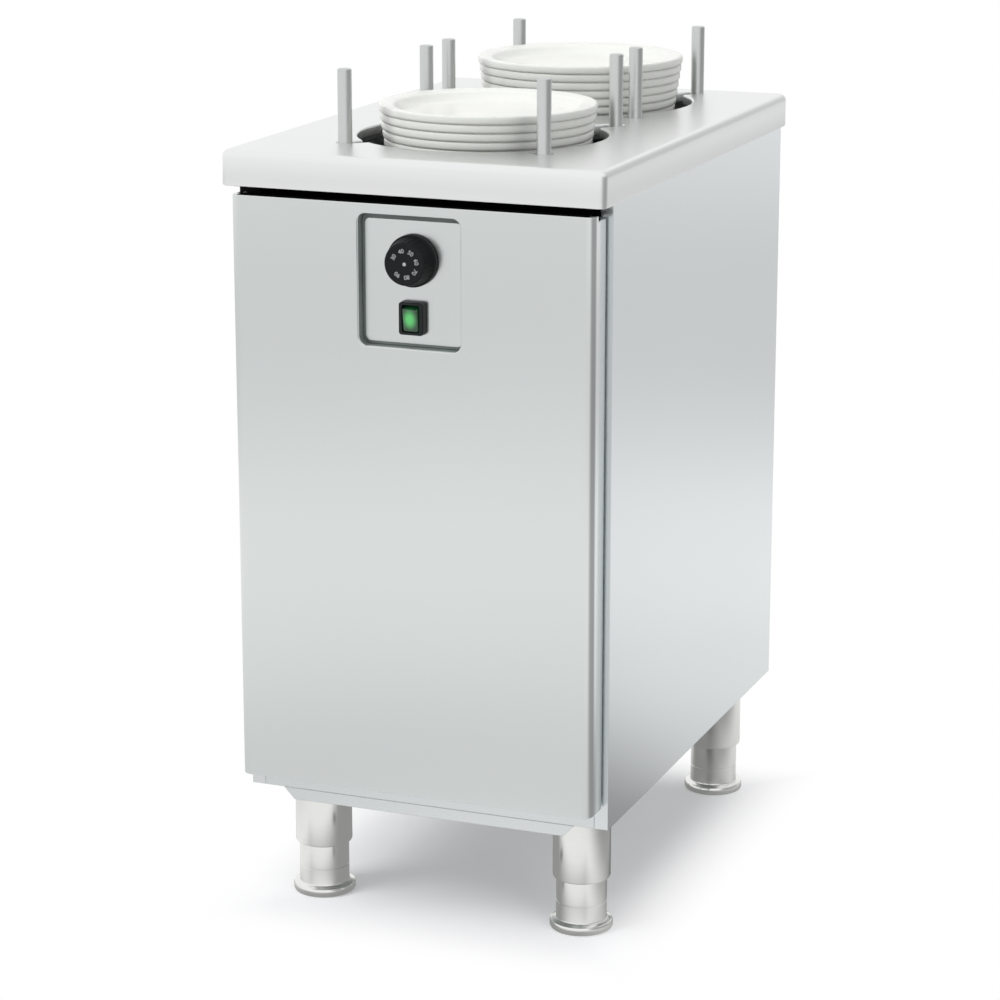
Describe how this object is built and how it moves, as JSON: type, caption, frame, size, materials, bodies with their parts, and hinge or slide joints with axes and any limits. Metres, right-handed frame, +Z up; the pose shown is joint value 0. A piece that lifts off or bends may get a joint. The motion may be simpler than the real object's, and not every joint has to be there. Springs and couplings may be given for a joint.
{
  "type": "plate dispenser",
  "caption": "Free-standing stainless plate dispenser: sprung plate stacks between upright guide rods, a hinged door round a recessed knob and lit rocker switch, and screw-adjustable feet.",
  "frame": {"origin": "on the floor, under the middle of the overall outline", "axes": "+X to the right and -Y to the front, as someone who stands before the door and the controls sees it; +Z up"},
  "size_m": [0.45, 0.704, 0.982],
  "materials": {
    "brushed_stainless": "satin stainless sheet",
    "polished_stainless": "polished stainless bar and tube",
    "spring_steel": "bright spring wire",
    "zinc_plated": "dull zinc-plated steel",
    "heating_tube": "heat-tinted steel tube",
    "porcelain": "glazed white porcelain",
    "black_plastic": "black moulded plastic",
    "dark_edging": "dark grey-green edging",
    "green_lens": "clear green lens, lit from inside"
  },
  "bodies": {
    "cabinet": {"worktop": "brushed_stainless", "side_panel_left": "brushed_stainless", "side_panel_right": "brushed_stainless", "back_panel": "brushed_stainless", "floor_tray": "brushed_stainless", "front_apron": "brushed_stainless", "guide_plate": "brushed_stainless", "base_rail_front": "brushed_stainless", "base_rail_rear": "brushed_stainless", "control_box": "brushed_stainless", "guide_rod_front_1": "polished_stainless", "guide_rod_front_2": "polished_stainless", "guide_rod_front_3": "polished_stainless", "guide_rod_front_4": "polished_stainless", "guide_rod_rear_1": "polished_stainless", "guide_rod_rear_2": "polished_stainless", "guide_rod_rear_3": "polished_stainless", "guide_rod_rear_4": "polished_stainless", "leg_sleeve_front_left": "polished_stainless", "leg_sleeve_front_right": "polished_stainless", "leg_sleeve_rear_left": "polished_stainless", "leg_sleeve_rear_right": "polished_stainless", "spring_front_left": "spring_steel", "spring_front_right": "spring_steel", "spring_rear_left": "spring_steel", "spring_rear_right": "spring_steel", "hinge_bracket_top": "zinc_plated", "hinge_bracket_bottom": "zinc_plated", "heater_guard": "zinc_plated", "heating_element": "heating_tube", "cable_gland": "black_plastic", "thermostat_body": "black_plastic", "switch_housing": "black_plastic"},
    "door": {"door_shell": "brushed_stainless", "door_liner": "brushed_stainless", "cutout_trim": "dark_edging", "hinge_pin_top": "zinc_plated", "hinge_pin_bottom": "zinc_plated"},
    "knob": {"thermostat_knob": "black_plastic"},
    "rocker": {"switch_rocker": "green_lens"},
    "carriage_front": {"carriage_disc_front": "brushed_stainless", "carriage_frame_front": "zinc_plated", "plate_front_1": "porcelain", "plate_front_2": "porcelain", "plate_front_3": "porcelain", "plate_front_4": "porcelain", "plate_front_5": "porcelain"},
    "carriage_rear": {"carriage_disc_rear": "brushed_stainless", "carriage_frame_rear": "zinc_plated", "plate_rear_1": "porcelain", "plate_rear_2": "porcelain", "plate_rear_3": "porcelain", "plate_rear_4": "porcelain", "plate_rear_5": "porcelain", "plate_rear_6": "porcelain", "plate_rear_7": "porcelain"},
    "foot_front_left": {"leg_foot_front_left": "polished_stainless"},
    "foot_front_right": {"leg_foot_front_right": "polished_stainless"},
    "foot_rear_left": {"leg_foot_rear_left": "polished_stainless"},
    "foot_rear_right": {"leg_foot_rear_right": "polished_stainless"}
  },
  "joints": [
    {"name": "door_hinge", "type": "hinge", "parent": "cabinet", "child": "door", "pos_m": [-0.2077, -0.31, 0.5105], "axis": [0, 0, -1], "range_deg": [0, 110]},
    {"name": "knob_turn", "type": "hinge", "parent": "cabinet", "child": "knob", "pos_m": [0, -0.339, 0.789], "axis": [0, 1, 0], "range_deg": [0, 270]},
    {"name": "switch_tip", "type": "hinge", "parent": "cabinet", "child": "rocker", "pos_m": [0, -0.324, 0.7256], "axis": [-1, 0, 0], "range_deg": [0, 16]},
    {"name": "foot_screw_front_left", "type": "slide", "parent": "cabinet", "child": "foot_front_left", "axis": [0, 0, 1], "range_m": [-0.03, 0.02]},
    {"name": "foot_screw_front_right", "type": "slide", "parent": "cabinet", "child": "foot_front_right", "axis": [0, 0, 1], "range_m": [-0.03, 0.02]},
    {"name": "foot_screw_rear_left", "type": "slide", "parent": "cabinet", "child": "foot_rear_left", "axis": [0, 0, 1], "range_m": [-0.03, 0.02]},
    {"name": "foot_screw_rear_right", "type": "slide", "parent": "cabinet", "child": "foot_rear_right", "axis": [0, 0, 1], "range_m": [-0.03, 0.02]},
    {"name": "carriage_slide_front", "type": "slide", "parent": "cabinet", "child": "carriage_front", "axis": [0, 0, 1], "range_m": [-0.4, 0.0035], "stiffness_N_per_m": 740, "springref_m": 0.0907, "deforming": ["spring_front_left", "spring_front_right"]},
    {"name": "carriage_slide_rear", "type": "slide", "parent": "cabinet", "child": "carriage_rear", "axis": [0, 0, 1], "range_m": [-0.4, 0.0035], "stiffness_N_per_m": 740, "springref_m": 0.113, "deforming": ["spring_rear_left", "spring_rear_right"]}
  ]
}
